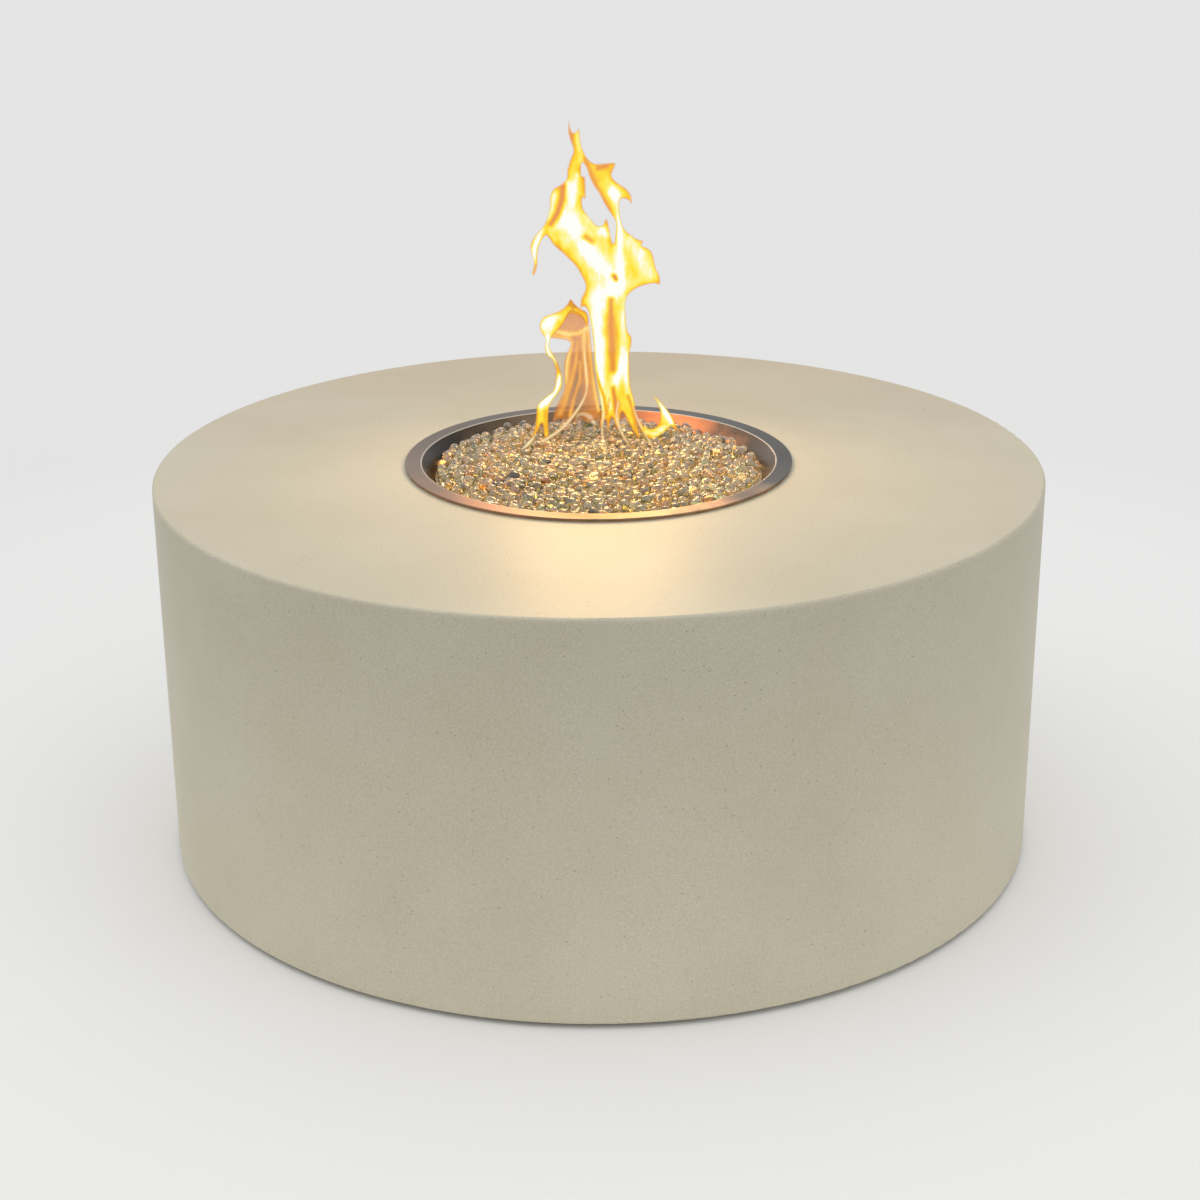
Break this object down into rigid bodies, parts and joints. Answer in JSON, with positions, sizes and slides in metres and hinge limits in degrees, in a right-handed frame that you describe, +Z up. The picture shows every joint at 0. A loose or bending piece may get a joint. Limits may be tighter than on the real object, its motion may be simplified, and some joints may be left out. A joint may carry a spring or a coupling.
{
  "type": "gas fire pit table",
  "caption": "Round cast-concrete fire pit table with a drop-in steel burner pan, ring burner, glass drops, key valve, igniter, vents and an access door at the back.",
  "frame": {"origin": "on the floor, under the centre of the round body", "axes": "+Z up, the side that the picture shows faces -Y, the door and controls face +Y, +X to the right of the picture"},
  "size_m": [1.1, 1.1105, 0.8905],
  "materials": {
    "concrete": "matt cast glass-fibre concrete, sand textured",
    "foot_rubber": "matt",
    "gasket": "tan sealing strip",
    "stainless": "brushed",
    "zinc_steel": "bright zinc plated",
    "brass": "machined",
    "aluminium": "cast",
    "chrome": "polished",
    "seal_white": "smooth",
    "plug_grey": "moulded",
    "black_plastic": "moulded",
    "battery_skin": "wrapped cell, plain sleeve",
    "ceramic": "glazed",
    "lead_sleeve": "silicone sleeve over copper",
    "magnet": "ferrite",
    "fire_glass": "tumbled clear and amber drops",
    "flame": "burning gas, glowing"
  },
  "bodies": {
    "table": {"table_shell": "concrete", "foot_pads": "foot_rubber", "foot_screws": "zinc_steel", "foot_inserts": "brass", "pan_gasket": "gasket", "burner_pan": "stainless", "burner_ring_outer": "stainless", "burner_ring_inner": "stainless", "burner_hub": "stainless", "burner_spokes": "stainless", "burner_nipple": "zinc_steel", "nipple_locknuts": "zinc_steel", "nipple_washer": "zinc_steel", "air_mixer": "aluminium", "gas_jet": "brass", "valve_body": "brass", "valve_seats": "seal_white", "valve_packing": "seal_white", "packing_nut": "brass", "valve_locknut": "brass", "valve_escutcheon": "chrome", "valve_adapters": "brass", "igniter_housing": "black_plastic", "igniter_battery": "battery_skin", "button_spring": "stainless", "igniter_locknut": "black_plastic", "igniter_terminal": "zinc_steel", "electrode_insulator": "ceramic", "electrode_rod": "stainless", "electrode_bracket": "stainless", "bracket_screws": "stainless", "bracket_nuts": "stainless", "inlet_bulkhead": "brass", "inlet_locknut": "brass", "supply_hose": "stainless", "burner_hose": "stainless", "hose_nuts": "brass", "spark_lead": "lead_sleeve", "door_frame": "stainless", "hinge_leaves_frame": "stainless", "hinge_pins": "stainless", "catch_body": "black_plastic", "catch_magnet": "magnet", "vent_grille_right": "stainless", "vent_grille_left": "stainless", "wall_screws": "stainless", "wall_plugs": "plug_grey", "glass_bed": "fire_glass", "glass_drops": "fire_glass", "flame": "flame"},
    "door": {"door_panel": "stainless", "hinge_leaves_door": "stainless", "door_rivets": "stainless", "catch_striker": "zinc_steel", "door_pull": "stainless", "pull_screw": "zinc_steel"},
    "valve_stem": {"valve_stem": "brass", "valve_ball": "chrome"},
    "key": {"valve_key": "chrome"},
    "igniter_button": {"igniter_button": "black_plastic"}
  },
  "joints": [
    {"name": "door_hinge", "type": "hinge", "parent": "table", "child": "door", "pos_m": [-0.13842, 0.53891, 0], "axis": [0, 0, 1], "range_deg": [0, 110]},
    {"name": "valve_turn", "type": "hinge", "parent": "table", "child": "valve_stem", "pos_m": [0.27556, 0.44099, 0.23], "axis": [0.5299, 0.848, 0], "range_deg": [-90, 0], "deforming": ["flame"]},
    {"name": "key_slide", "type": "slide", "parent": "valve_stem", "child": "key", "axis": [0.5299, 0.848, 0], "range_m": [0, 0.06]},
    {"name": "button_press", "type": "slide", "parent": "table", "child": "igniter_button", "axis": [0.6884, 0.7254, 0], "range_m": [-0.004, 0], "stiffness_N_per_m": 600, "springref_m": 0.004, "deforming": ["button_spring"]}
  ]
}
